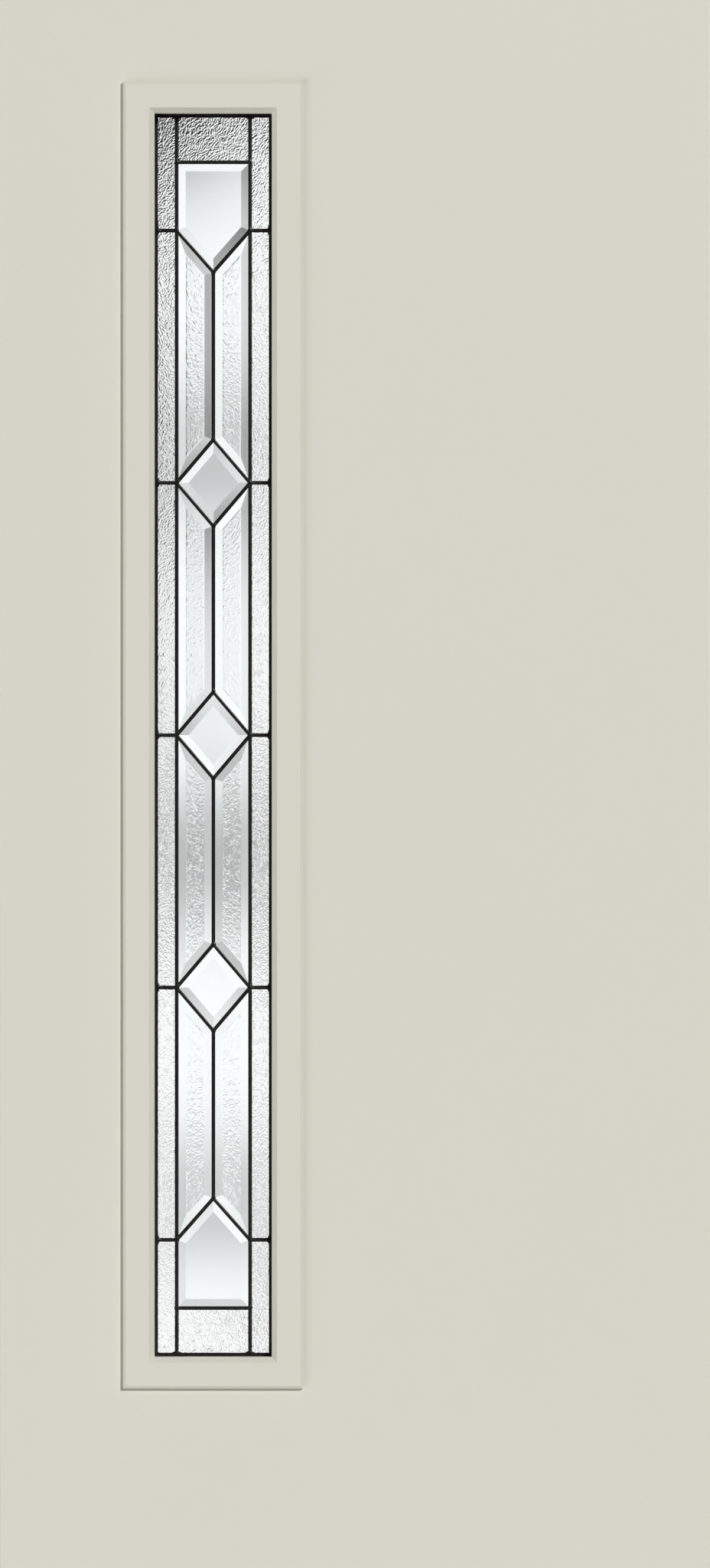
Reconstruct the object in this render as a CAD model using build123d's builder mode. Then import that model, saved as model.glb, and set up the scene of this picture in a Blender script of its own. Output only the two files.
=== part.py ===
from build123d import *
import math
import os

os.makedirs("parts", exist_ok=True)

# The origin is at the bottom of the hinge edge, mid thickness. The leaf runs along -X to its lock edge and
# up +Z, and its exterior face looks along -Y. All sizes are in millimetres.

# Door leaf
door_width = 908.05
door_height = 2006.6
door_thickness = 44.45
skin_gauge = 0.61
skin_return = 12.0
skin_hem = 6.0
hinge_stile_width = 38.1
lock_stile_width = 38.1
top_rail_height = 38.1
bottom_rail_height = 38.1

# Hinge seats, for square leaves with rounded corners and two pairs of screws each
hinge_height = 101.6
hinge_leaf_gauge = 2.5
hinge_backset = 6.35
hinge_corner_radius = 15.9
top_hinge_from_top = 228.6
bottom_hinge_from_bottom = 330.2
pilot_radius = 1.6
pilot_depth = 25.0
outer_pair_spacing = 76.2
outer_pair_backset = 9.5
inner_pair_spacing = 29.4
inner_pair_backset = 20.6

# Place and size of the glazed lite: the margins run from the leaf's ends to its frame
lite_from_lock_edge = 272.6
lite_top_margin = 106.1
lite_bottom_margin = 231.1
daylight_width = 150.0

# Moulded lite frame
frame_width = 40.0
frame_proud = 9.5
frame_wall = 3.0
frame_outer_bevel = 3.5
frame_outer_drop = 2.5
frame_inner_slope = 6.8
frame_edge_radius = 0.7
frame_edge_lip = 1.5
perimeter_seal_thickness = 2.0
perimeter_seal_width = 7.0
seal_side_gap = 0.5
glazing_foot_width = 9.5
glazing_foot_thickness = 2.5
glazing_tape_thickness = 2.0
glazing_tape_width = 8.0
glazing_tape_inset = 0.8

# Screws that draw the two lite frames together, under flush plugs on the interior
cutout_margin = 26.0
boss_radius = 5.0
boss_inset = 19.5
boss_end_gap = 1.5
side_screw_end_inset = 44.7
side_screw_count = 6
screw_radius = 1.9
screw_length = 40.0
screw_point = 1.2
screw_head_radius = 3.7
screw_head_height = 1.8
screw_clearance = 0.1
pilot_overrun = 1.0
counterbore_radius = 4.1
counterbore_depth = 3.5
plug_clearance = 0.1
plug_edge = 0.4

# Sealed glass unit
unit_thickness = 25.4
unit_bite = 13.5
pane_thickness = 3.1
spacer_bite = 4.0
spacer_width = 7.5

# Lead cames of the decorative panel
came_face = 4.76
came_height = 5.5
came_channel = 3.9
came_heart = 1.2
came_edge = 0.35
border_sight = 3.9
border_web = 1.2

# Glass held in the cames
glass_clearance = 0.4
textured_glass = 3.2
bevel_glass = 4.8
bevel_edge = 2.3
bevel_width = 10.5

# Pattern of the panel, measured from the centre of the daylight
upright_offset = 47.0
bar_inset = 61.2
house_eave_height = 87.3
diamond_reach = 55.3
chevron_reach = 53.3

# A cutter runs this far past the surface that it opens
cutter_overrun = 1.0

# Sizes that follow from those above
half_leaf = door_thickness / 2
half_core = half_leaf - skin_gauge
return_end = half_leaf - skin_return
hinge_seat_back = hinge_backset - half_leaf
lite_x = lite_from_lock_edge - door_width
lite_centre_height = (lite_bottom_margin + door_height - lite_top_margin) / 2
daylight_height = door_height - lite_top_margin - lite_bottom_margin - 2 * frame_width
half_daylight_width = daylight_width / 2
half_daylight_height = daylight_height / 2
frame_underside = frame_proud - frame_wall
half_unit = unit_thickness / 2
half_cavity = half_unit - pane_thickness
came_reach = came_face / 2
half_channel = came_channel / 2
glass_gap = came_heart / 2 + glass_clearance
border_bite = spacer_bite - border_web - glass_clearance
bar_level = half_daylight_height - bar_inset
cross_pitch = (bar_level - house_eave_height) / 2
cross_levels = [step * cross_pitch for step in (2, 1, 0, -1, -2)]
hinge_levels = [
    bottom_hinge_from_bottom,
    (bottom_hinge_from_bottom + door_height - top_hinge_from_top) / 2,
    door_height - top_hinge_from_top,
]
side_screw_pitch = (daylight_height - 2 * side_screw_end_inset) / (side_screw_count - 1)
screw_places = [
    (side * (half_daylight_width + boss_inset), (row - (side_screw_count - 1) / 2) * side_screw_pitch)
    for side in (-1, 1)
    for row in range(side_screw_count)
]
screw_places += [(0, side * (half_daylight_height + boss_inset)) for side in (-1, 1)]

# Along the middle of the panel stand a chevron, three diamonds and a chevron, each by level and reach
middle_shapes = list(zip(cross_levels, [chevron_reach] + 3 * [diamond_reach] + [chevron_reach]))

def write_piece(builder, name):
    """Label a finished piece and write it to its own file."""
    builder.part.label = name
    export_step(builder.part, f"parts/{name}.step")


def lite_plane(y):
    """Plane across the lite that faces the exterior, centred on the daylight."""
    return Plane(origin=(lite_x, y, lite_centre_height), x_dir=(1, 0, 0), z_dir=(0, -1, 0))


def panel_point(x, z):
    """Point in the mid plane of the decorative panel."""
    return Vector(lite_x + x, 0, lite_centre_height + z)


# Steel skins: each long edge folds over its stile and ends in a hem
def folded_skin(side):
    """Sheet on one face of the leaf, where side is -1 for the exterior and 1 for the interior."""
    hem_face = return_end + skin_gauge
    with BuildPart() as skin:
        with BuildSketch() as section:
            with BuildLine():
                Polyline(
                    (0, side * half_leaf),
                    (0, side * return_end),
                    (-skin_hem, side * return_end),
                    (-skin_hem, side * hem_face),
                    (-skin_gauge, side * hem_face),
                    (-skin_gauge, side * half_core),
                    (skin_gauge - door_width, side * half_core),
                    (skin_gauge - door_width, side * hem_face),
                    (skin_hem - door_width, side * hem_face),
                    (skin_hem - door_width, side * return_end),
                    (-door_width, side * return_end),
                    (-door_width, side * half_leaf),
                    close=True,
                )
            make_face()
            folds = section.vertices().filter_by(lambda corner: abs(corner.Y) > half_core + skin_gauge / 2)
            fillet(folds, skin_gauge)
        extrude(amount=door_height)
        add(lite_cutout, mode=Mode.SUBTRACT)
        add(hinge_seats, mode=Mode.SUBTRACT)
    return skin


with BuildPart() as lite_cutout_cutter:
    with BuildSketch(lite_plane(half_leaf + cutter_overrun)):
        Rectangle(daylight_width + 2 * cutout_margin, daylight_height + 2 * cutout_margin)
    extrude(amount=door_thickness + 2 * cutter_overrun)
lite_cutout = lite_cutout_cutter.part

with BuildPart() as hinge_seat_cutter:
    with BuildSketch(Plane.YZ.offset(-hinge_leaf_gauge)) as seats:
        seat_width = half_leaf + cutter_overrun - hinge_seat_back
        with Locations(*[(hinge_seat_back + seat_width / 2, level) for level in hinge_levels]):
            Rectangle(seat_width, hinge_height)
        fillet(seats.vertices().group_by(Axis.X)[0], hinge_corner_radius)
    extrude(amount=hinge_leaf_gauge + cutter_overrun)
hinge_seats = hinge_seat_cutter.part

exterior_skin = folded_skin(-1)
write_piece(exterior_skin, "exterior_skin")
interior_skin = folded_skin(1)
write_piece(interior_skin, "interior_skin")


# Wood edges: a strip of each stile shows between the folded skins, and a kerf takes each hem
def stile(edge, inward, width):
    """Stile from its outer edge at X = edge, with inward the sign of X into the leaf."""
    kerf_face = return_end + skin_gauge
    with BuildPart() as post:
        with BuildSketch():
            with BuildLine() as half:
                Polyline(
                    (edge, 0),
                    (edge, return_end),
                    (edge + inward * skin_hem, return_end),
                    (edge + inward * skin_hem, kerf_face),
                    (edge + inward * skin_gauge, kerf_face),
                    (edge + inward * skin_gauge, half_core),
                    (edge + inward * width, half_core),
                    (edge + inward * width, 0),
                )
                mirror(half.line, about=Plane.XZ)
            make_face()
        extrude(amount=door_height)
    return post


with BuildPart() as hinge_stile:
    add(stile(0, -1, hinge_stile_width))
    add(hinge_seats, mode=Mode.SUBTRACT)
    with Locations(Plane.YZ.offset(-hinge_leaf_gauge)):
        for level in hinge_levels:
            with Locations((hinge_seat_back + outer_pair_backset, level)):
                with GridLocations(0, outer_pair_spacing, 1, 2):
                    Hole(pilot_radius, pilot_depth)
            with Locations((hinge_seat_back + inner_pair_backset, level)):
                with GridLocations(0, inner_pair_spacing, 1, 2):
                    Hole(pilot_radius, pilot_depth)
write_piece(hinge_stile, "hinge_stile")

lock_stile = stile(-door_width, 1, lock_stile_width)
write_piece(lock_stile, "lock_stile")

core_left = lock_stile_width - door_width
core_right = -hinge_stile_width
core_middle = (core_left + core_right) / 2


def core_block(bottom, top):
    """Block that fills the leaf between its stiles and skins, from one height to another."""
    with BuildPart() as block:
        with BuildSketch(Plane.XY.offset(bottom)):
            with Locations((core_middle, 0)):
                Rectangle(core_right - core_left, 2 * half_core)
        extrude(amount=top - bottom)
    return block


top_rail = core_block(door_height - top_rail_height, door_height)
write_piece(top_rail, "top_rail")
bottom_rail = core_block(0, bottom_rail_height)
write_piece(bottom_rail, "bottom_rail")

with BuildPart() as foam_core:
    add(core_block(bottom_rail_height, door_height - top_rail_height))
    add(lite_cutout, mode=Mode.SUBTRACT)
write_piece(foam_core, "foam_core")


# Rings round the daylight: u is measured outward from its edge
def flat_ring(inner_u, outer_u, near_y, far_y):
    """Ring of rectangular section that fills near_y to far_y."""
    with BuildPart() as ring:
        with BuildSketch(lite_plane(max(near_y, far_y))):
            Rectangle(daylight_width + 2 * outer_u, daylight_height + 2 * outer_u)
            Rectangle(daylight_width + 2 * inner_u, daylight_height + 2 * inner_u, mode=Mode.SUBTRACT)
        extrude(amount=abs(far_y - near_y))
    return ring


def mitred_ring(section, base_y):
    """Carry a section, drawn as u and y from base_y, round the daylight with mitred corners."""
    right = lite_x + half_daylight_width
    left = lite_x - half_daylight_width
    top = lite_centre_height + half_daylight_height
    bottom = lite_centre_height - half_daylight_height
    start = Vector(right, base_y, lite_centre_height)
    with BuildLine() as path:
        Polyline(
            start,
            (right, base_y, top),
            (left, base_y, top),
            (left, base_y, bottom),
            (right, base_y, bottom),
            start,
        )
    section_plane = Plane(origin=start, x_dir=(1, 0, 0), z_dir=(0, 0, 1))
    return sweep(
        sections=section_plane * section,
        path=path.wires()[0],
        transition=Transition.RIGHT,
        mode=Mode.PRIVATE,
    )


# Lite frames: a moulded channel with an outer bevel, an inner slope and a lip down to the glass
def frame_section(side):
    """Section of a lite frame, where h is the height off the skin and side turns it to its own face."""
    slope_foot = frame_proud - frame_inner_slope
    lip_end = glazing_tape_thickness + half_unit - half_leaf
    land_edge = frame_width - frame_edge_lip - perimeter_seal_width - 2 * seal_side_gap
    wall_offset = frame_wall * math.sqrt(2)
    with BuildSketch() as section:
        with BuildLine():
            face = FilletPolyline(
                (0, side * lip_end),
                (0, side * slope_foot),
                (frame_inner_slope, side * frame_proud),
                (frame_width - frame_outer_bevel, side * frame_proud),
                (frame_width, side * (frame_proud - frame_outer_drop)),
                (frame_width, 0),
                radius=frame_edge_radius,
            )
            Polyline(
                face @ 1,
                (frame_width - frame_edge_lip, 0),
                (frame_width - frame_edge_lip, side * perimeter_seal_thickness),
                (land_edge, side * perimeter_seal_thickness),
                (land_edge, side * frame_underside),
                (frame_underside - slope_foot + wall_offset, side * frame_underside),
                (frame_wall, side * (frame_wall + slope_foot - wall_offset)),
                (frame_wall, side * (lip_end + glazing_foot_thickness)),
                (glazing_foot_width, side * (lip_end + glazing_foot_thickness)),
                (glazing_foot_width, side * lip_end),
                face @ 0,
            )
        make_face()
    return section.sketch


boss_length = half_leaf + frame_underside - boss_end_gap
head_seat = half_leaf + frame_proud - counterbore_depth

with BuildPart() as exterior_lite_frame:
    add(mitred_ring(frame_section(-1), -half_leaf))
    with BuildSketch(lite_plane(-boss_end_gap)):
        with Locations(*screw_places):
            Circle(boss_radius)
    extrude(amount=boss_length)
    with BuildSketch(lite_plane(-boss_end_gap)):
        with Locations(*screw_places):
            Circle(screw_radius + screw_clearance)
    extrude(amount=screw_length - head_seat - boss_end_gap + pilot_overrun, mode=Mode.SUBTRACT)
write_piece(exterior_lite_frame, "exterior_lite_frame")

with BuildPart() as interior_lite_frame:
    add(mitred_ring(frame_section(1), half_leaf))
    with BuildSketch(lite_plane(half_leaf + frame_underside)):
        with Locations(*screw_places):
            Circle(boss_radius)
    extrude(amount=boss_length)
    with BuildSketch(lite_plane(head_seat)):
        with Locations(*screw_places):
            Circle(screw_radius + screw_clearance)
    extrude(amount=head_seat, mode=Mode.SUBTRACT)
    with BuildSketch(lite_plane(half_leaf + frame_proud)):
        with Locations(*screw_places):
            Circle(counterbore_radius)
    extrude(amount=counterbore_depth, mode=Mode.SUBTRACT)
write_piece(interior_lite_frame, "interior_lite_frame")

with BuildPart() as frame_screws:
    with BuildSketch(lite_plane(head_seat + screw_head_height)):
        with Locations(*screw_places):
            Circle(screw_head_radius)
    extrude(amount=screw_head_height)
    with BuildSketch(lite_plane(head_seat)):
        with Locations(*screw_places):
            Circle(screw_radius)
    extrude(amount=screw_length)
    chamfer(frame_screws.edges().group_by(Axis.Y)[0], screw_point)
write_piece(frame_screws, "frame_screws")

with BuildPart() as screw_plugs:
    with BuildSketch(lite_plane(half_leaf + frame_proud)):
        with Locations(*screw_places):
            Circle(counterbore_radius - plug_clearance)
    extrude(amount=counterbore_depth - screw_head_height)
    chamfer(screw_plugs.edges().group_by(Axis.Y)[-1], plug_edge)
write_piece(screw_plugs, "screw_plugs")

for side, place in ((-1, "exterior"), (1, "interior")):
    seal_outer = frame_width - frame_edge_lip - seal_side_gap
    perimeter_seal = flat_ring(
        seal_outer - perimeter_seal_width,
        seal_outer,
        side * half_leaf,
        side * (half_leaf + perimeter_seal_thickness),
    )
    write_piece(perimeter_seal, f"{place}_perimeter_seal")
    glazing_tape = flat_ring(
        glazing_tape_inset,
        glazing_tape_inset + glazing_tape_width,
        side * half_unit,
        side * (half_unit + glazing_tape_thickness),
    )
    write_piece(glazing_tape, f"{place}_glazing_tape")


# Sealed glass unit: two panes apart on a spacer, with an edge seal behind it
def pane(outer_y):
    """Clear pane whose exterior surface is at outer_y."""
    with BuildPart() as sheet:
        with BuildSketch(lite_plane(outer_y + pane_thickness)):
            Rectangle(daylight_width + 2 * unit_bite, daylight_height + 2 * unit_bite)
        extrude(amount=pane_thickness)
    return sheet


exterior_pane = pane(-half_unit)
write_piece(exterior_pane, "exterior_pane")
interior_pane = pane(half_cavity)
write_piece(interior_pane, "interior_pane")
spacer_frame = flat_ring(spacer_bite, spacer_bite + spacer_width, -half_cavity, half_cavity)
write_piece(spacer_frame, "spacer_frame")
unit_edge_seal = flat_ring(spacer_bite + spacer_width, unit_bite, -half_cavity, half_cavity)
write_piece(unit_edge_seal, "unit_edge_seal")


# Lead cames: an H section of two crowned leaves on a heart, mitred at corners and butted at joints
def came_section(plane):
    """Section of a came, with its face across the plane's X."""
    edge = half_channel + came_edge
    crown = came_height / 2
    heart = came_heart / 2
    with BuildSketch(plane) as section:
        with BuildLine():
            near = Polyline((heart, -half_channel), (came_reach, -half_channel), (came_reach, -edge))
            near_face = ThreePointArc(near @ 1, (0, -crown), (-came_reach, -edge))
            middle = Polyline(
                near_face @ 1,
                (-came_reach, -half_channel),
                (-heart, -half_channel),
                (-heart, half_channel),
                (-came_reach, half_channel),
                (-came_reach, edge),
            )
            far_face = ThreePointArc(middle @ 1, (0, crown), (came_reach, edge))
            Polyline(far_face @ 1, (came_reach, half_channel), (heart, half_channel), near @ 0)
        make_face()
    return section.sketch


def came_along(*points):
    """Carry the came section along straight runs through points, with mitred corners."""
    direction = (points[1] - points[0]).normalized()
    start_plane = Plane(origin=points[0], x_dir=direction.cross(Vector(0, 1, 0)), z_dir=direction)
    with BuildLine() as path:
        Polyline(*points)
    return sweep(
        sections=came_section(start_plane),
        path=path.wires()[0],
        transition=Transition.RIGHT,
        mode=Mode.PRIVATE,
    )


def panel_prism(*outlines):
    """Prism through the panel on closed outlines, for trimming cames."""
    with BuildPart() as prism:
        with BuildSketch(lite_plane(came_height)):
            for outline in outlines:
                Polygon(*outline, align=None)
        extrude(amount=2 * came_height)
    return prism.part


def rhombus(level, reach, growth):
    """Outline of a middle shape at a level, moved outward by growth."""
    slope = reach / upright_offset
    rise = growth * math.hypot(1, slope)
    half_height = reach + rise
    return [
        (0, level + half_height),
        (half_height / slope, level),
        (0, level - half_height),
        (-half_height / slope, level),
    ]


between_uprights = panel_prism(
    [
        (side_x * (upright_offset - came_reach), side_z * half_daylight_height)
        for side_x, side_z in ((-1, -1), (1, -1), (1, 1), (-1, 1))
    ]
)

with BuildSketch() as border_section:
    with BuildLine():
        leaf_face = FilletPolyline(
            (spacer_bite, -came_height / 2),
            (-border_sight, -came_height / 2),
            (-border_sight, -half_channel),
            radius=(came_height - came_channel) / 2 - came_edge,
        )
        Polyline(
            leaf_face @ 1,
            (spacer_bite - border_web, -half_channel),
            (spacer_bite - border_web, 0),
        )
        mirror(about=Plane.XZ)
        Line((spacer_bite, -came_height / 2), (spacer_bite, came_height / 2))
    make_face()

with BuildPart() as border_came:
    add(mitred_ring(border_section.sketch, 0))
write_piece(border_came, "border_came")

upright_end = half_daylight_height - border_sight
for side, name in ((-1, "left"), (1, "right")):
    with BuildPart() as upright_came:
        x = side * upright_offset
        add(came_along(panel_point(x, -upright_end), panel_point(x, upright_end)))
    write_piece(upright_came, f"{name}_upright_came")
    with BuildPart() as cross_cames:
        inner_end = side * (upright_offset + came_reach)
        outer_end = side * (half_daylight_width - border_sight)
        for level in cross_levels:
            add(came_along(panel_point(inner_end, level), panel_point(outer_end, level)))
    write_piece(cross_cames, f"{name}_cross_cames")

bar_end = upright_offset - came_reach
for side, name in ((1, "top"), (-1, "bottom")):
    with BuildPart() as bar_came:
        level = side * bar_level
        add(came_along(panel_point(-bar_end, level), panel_point(bar_end, level)))
    write_piece(bar_came, f"{name}_bar_came")
    with BuildPart() as chevron_came:
        level = side * cross_levels[0]
        apex = panel_point(0, level - side * chevron_reach)
        add(came_along(panel_point(-upright_offset, level), apex, panel_point(upright_offset, level)))
        add(between_uprights, mode=Mode.INTERSECT)
    write_piece(chevron_came, f"{name}_chevron_came")

for level, name in zip(cross_levels[1:4], ("upper", "middle", "lower")):
    with BuildPart() as diamond_came:
        top = panel_point(0, level + diamond_reach)
        right = panel_point(upright_offset, level)
        bottom = panel_point(0, level - diamond_reach)
        left = panel_point(-upright_offset, level)
        start = (top + right) / 2
        add(came_along(start, right, bottom, left, top, start))
        add(between_uprights, mode=Mode.INTERSECT)
    write_piece(diamond_came, f"{name}_diamond_came")

with BuildPart() as centre_cames:
    for (upper_level, upper_reach), (lower_level, lower_reach) in zip(middle_shapes, middle_shapes[1:]):
        add(
            came_along(
                panel_point(0, lower_level + lower_reach),
                panel_point(0, upper_level - upper_reach),
            )
        )
    outlines = [rhombus(level, reach, came_reach) for level, reach in middle_shapes]
    add(panel_prism(*outlines), mode=Mode.SUBTRACT)
write_piece(centre_cames, "centre_cames")


# Textured glass of the border
def textured_sheets(*boxes):
    """Flat sheets, each between two opposite corners."""
    with BuildPart() as sheets:
        with BuildSketch(lite_plane(textured_glass / 2)):
            for (low_x, low_z), (high_x, high_z) in boxes:
                with Locations(((low_x + high_x) / 2, (low_z + high_z) / 2)):
                    Rectangle(abs(high_x - low_x), abs(high_z - low_z))
        extrude(amount=textured_glass)
    return sheets


glass_top = half_daylight_height + border_bite
column_inner = upright_offset + glass_gap
column_outer = half_daylight_width + border_bite
row_tops = [glass_top] + [level - glass_gap for level in cross_levels]
row_bottoms = [level + glass_gap for level in cross_levels] + [-glass_top]
for side, name in ((-1, "left"), (1, "right")):
    border_glass = textured_sheets(
        *[
            ((side * column_inner, low), (side * column_outer, high))
            for low, high in zip(row_bottoms, row_tops)
        ]
    )
    write_piece(border_glass, f"{name}_border_glass")

field_edge = upright_offset - glass_gap
for side, name in ((1, "top"), (-1, "bottom")):
    panel_glass = textured_sheets(
        ((-field_edge, side * (bar_level + glass_gap)), (field_edge, side * glass_top))
    )
    write_piece(panel_glass, f"{name}_panel_glass")


# Bevelled glass: flat at the back, with a wide bevel ground round the exterior face
def bevelled_pieces(*outlines):
    """Pieces on convex outlines, thinned from the full glass to the bevel's edge."""
    grind = bevel_glass - bevel_edge
    with BuildPart() as pieces:
        for outline in outlines:
            with BuildSketch(lite_plane(textured_glass / 2)):
                Polygon(*outline, align=None)
            extrude(amount=bevel_edge)
            with BuildSketch(lite_plane(textured_glass / 2 - bevel_edge)):
                Polygon(*outline, align=None)
            extrude(amount=grind, taper=math.degrees(math.atan2(bevel_width, grind)))
    return pieces


def below_shape(level, reach, x):
    """Height of the glass edge under a middle shape, at a distance x from the panel's centre line."""
    slope = reach / upright_offset
    return level - reach - glass_gap * math.hypot(1, slope) + slope * abs(x)


def above_shape(level, reach, x):
    """Height of the glass edge over a middle shape, at a distance x from the panel's centre line."""
    return 2 * level - below_shape(level, reach, x)


chevron_slope = chevron_reach / upright_offset
house_point = cross_levels[0] - chevron_reach + glass_gap * math.hypot(1, chevron_slope)
house_shoulder = house_point + chevron_slope * field_edge
house_eave = bar_level - glass_gap
for side, name in ((1, "top"), (-1, "bottom")):
    house_bevel = bevelled_pieces(
        [
            (-field_edge, side * house_eave),
            (field_edge, side * house_eave),
            (field_edge, side * house_shoulder),
            (0, side * house_point),
            (-field_edge, side * house_shoulder),
        ]
    )
    write_piece(house_bevel, f"{name}_house_bevel")

for level, name in zip(cross_levels[1:4], ("upper", "middle", "lower")):
    diamond_bevel = bevelled_pieces(rhombus(level, diamond_reach, -glass_gap))
    write_piece(diamond_bevel, f"{name}_diamond_bevel")

for side, name in ((-1, "left"), (1, "right")):
    inner_x = side * glass_gap
    outer_x = side * field_edge
    long_bevels = bevelled_pieces(
        *[
            [
                (inner_x, below_shape(*upper, inner_x)),
                (outer_x, below_shape(*upper, outer_x)),
                (outer_x, above_shape(*lower, outer_x)),
                (inner_x, above_shape(*lower, inner_x)),
            ]
            for upper, lower in zip(middle_shapes, middle_shapes[1:])
        ]
    )
    write_piece(long_bevels, f"{name}_long_bevels")
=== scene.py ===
import math

import bpy
import mathutils
import numpy as np
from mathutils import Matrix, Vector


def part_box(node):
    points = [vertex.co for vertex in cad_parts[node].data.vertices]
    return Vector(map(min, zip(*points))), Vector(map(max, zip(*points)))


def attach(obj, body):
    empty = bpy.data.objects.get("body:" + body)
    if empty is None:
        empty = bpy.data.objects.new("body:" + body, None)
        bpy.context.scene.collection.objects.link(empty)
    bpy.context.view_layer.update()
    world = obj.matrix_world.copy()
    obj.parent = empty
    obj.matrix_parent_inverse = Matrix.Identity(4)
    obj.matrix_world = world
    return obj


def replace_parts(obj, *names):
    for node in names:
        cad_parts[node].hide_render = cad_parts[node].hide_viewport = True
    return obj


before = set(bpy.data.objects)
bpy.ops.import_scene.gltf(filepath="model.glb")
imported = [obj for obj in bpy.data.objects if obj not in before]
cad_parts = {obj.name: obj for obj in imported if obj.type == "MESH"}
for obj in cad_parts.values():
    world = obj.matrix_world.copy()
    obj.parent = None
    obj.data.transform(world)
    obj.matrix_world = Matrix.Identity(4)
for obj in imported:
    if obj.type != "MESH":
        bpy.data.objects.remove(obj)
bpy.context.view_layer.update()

# A steel entry door leaf with a tall narrow lite of leaded, bevelled and textured glass, dressed round its
# frame. Everything is in metres. The exterior face looks along -Y, and the leaf stands on Z = 0.
MM = 0.001

# Sizes of the leaded panel that its nodes' boxes don't give by themselves
CAME_FACE = 4.76 * MM
CAME_CROWN = 2.75 * MM
CROSS_ROWS = 5
GLASS_GAP = 1.0 * MM
BEVEL_WIDTH = 10.5 * MM
BEVEL_GRIND = 2.5 * MM

# Relief of the patterned glasses. Both have ripples and grooves that lean several ways, in degrees. A
# ripple has a spacing, a length and a slope. A groove has a spacing, a width and a depth, and it comes and
# goes in patches, which are a share of its spacing.
RELIEF_STEP = 0.75 * MM
BEVEL_STEPS = 5
RIPPLE_DEPTH = 0.6 * MM
RIPPLE_EVENNESS = 1.4
PATCH_CONTRAST = 2.5
GROOVE_PRESENCE = 0.5
GROOVE_UNEVENNESS = 0.6
GROOVE_PATCH = 0.7
CHIP_FADE = 1.5 * MM
ROLLED = {
    "leans": (48, 75, 20, 120),
    "patch": 10.0 * MM,
    "ripple": (3.3 * MM, 3.4 * MM, 0.30),
    "groove": (7.0 * MM, 0.8 * MM, 0.36 * MM),
}
CHIPPED = {
    "leans": (50, 130, 85, 5),
    "patch": 8.0 * MM,
    "ripple": (3.6 * MM, 3.6 * MM, 0.11),
    "groove": (8.0 * MM, 0.8 * MM, 0.36 * MM),
}

# Solder at the joints of the cames
SOLDER_CORE = 3.1 * MM
SOLDER_ARM = 2.6 * MM
SOLDER_ARM_SPREAD = 0.32
SOLDER_RISE = 0.55 * MM
SOLDER_TUCK = 0.5 * MM
SOLDER_SKIRT = 0.6 * MM
SOLDER_RINGS = 7
SOLDER_SECTORS = 36

# Seeds of the draws, and their steps from one side of the lite to the other
BORDER_SEED_STEP = 100
PANEL_SEED = 50
BEVEL_SEED = 300
BEVEL_SEED_STEP = 10
SOLDER_SEED = 7

# Places that follow from the frame
leaf_low, leaf_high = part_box("exterior_skin")
lite_low, lite_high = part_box("exterior_lite_frame")
lite_x = (lite_low.x + lite_high.x) / 2
lite_z = (lite_low.z + lite_high.z) / 2


def centre(node, axis):
    """Middle of a node's box along one axis, measured from the middle of the lite on X and Z."""
    low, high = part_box(node)
    return (low[axis] + high[axis]) / 2 - (lite_x, 0, lite_z)[axis]


upright_x = centre("right_upright_came", 0)
bar_z = centre("top_bar_came", 2)
cross_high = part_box("right_cross_cames")[1]
border_x = cross_high.x - lite_x
border_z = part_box("left_upright_came")[1].z - lite_z
top_cross = cross_high.z - lite_z - CAME_FACE / 2
cross_levels = np.linspace(top_cross, -top_cross, CROSS_ROWS)


def glass_point(node, side):
    """Height of a bevelled glass's upper point, or lower one if side is -1, over the middle of the lite."""
    low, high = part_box(node)
    return (high.z if side > 0 else low.z) - lite_z


def reach_from_glass(glass_reach):
    """Reach of a pointed came from that of the glass inside it, which keeps the gap g to the came's centre
    line: the reach r solves r - g sqrt(1 + (r / w)^2) = glass reach, with w half the width, and 20 rounds
    settle it."""
    reach = glass_reach
    for _ in range(20):
        reach = glass_reach + GLASS_GAP * math.hypot(1, reach / upright_x)
    return reach


diamond_reach = reach_from_glass(glass_point("middle_diamond_bevel", 1) - cross_levels[CROSS_ROWS // 2])
chevron_reach = reach_from_glass(cross_levels[0] - glass_point("top_house_bevel", -1))

# Level and reach of each pointed shape down the middle: a chevron, the diamonds and a chevron
middle_reaches = [chevron_reach] + (CROSS_ROWS - 2) * [diamond_reach] + [chevron_reach]
middle_shapes = list(zip(cross_levels, middle_reaches))


def linear(code):
    """Linear colour of an sRGB hex code."""
    shares = [int(code[place:place + 2], 16) / 255 for place in (1, 3, 5)]
    return (*[s / 12.92 if s <= 0.04045 else ((s + 0.055) / 1.055) ** 2.4 for s in shares], 1.0)


def per_metre(size):
    """Scale of a pattern whose features are this many millimetres apart."""
    return 1000 / size


def add(tree, kind, inputs=None, **settings):
    """Add a node with its settings, and set or link its inputs by name or number."""
    node = tree.nodes.new("ShaderNode" + kind)
    for name, value in settings.items():
        setattr(node, name, value)
    for name, value in (inputs or {}).items():
        if isinstance(value, bpy.types.NodeSocket):
            tree.links.new(value, node.inputs[name])
        else:
            node.inputs[name].default_value = value
    return node


def new_material(name):
    """Empty material, and its tree and Object coordinates."""
    material = bpy.data.materials.new(name)
    material.use_nodes = True
    tree = material.node_tree
    tree.nodes.clear()
    return material, tree, add(tree, "TexCoord").outputs["Object"]


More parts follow.
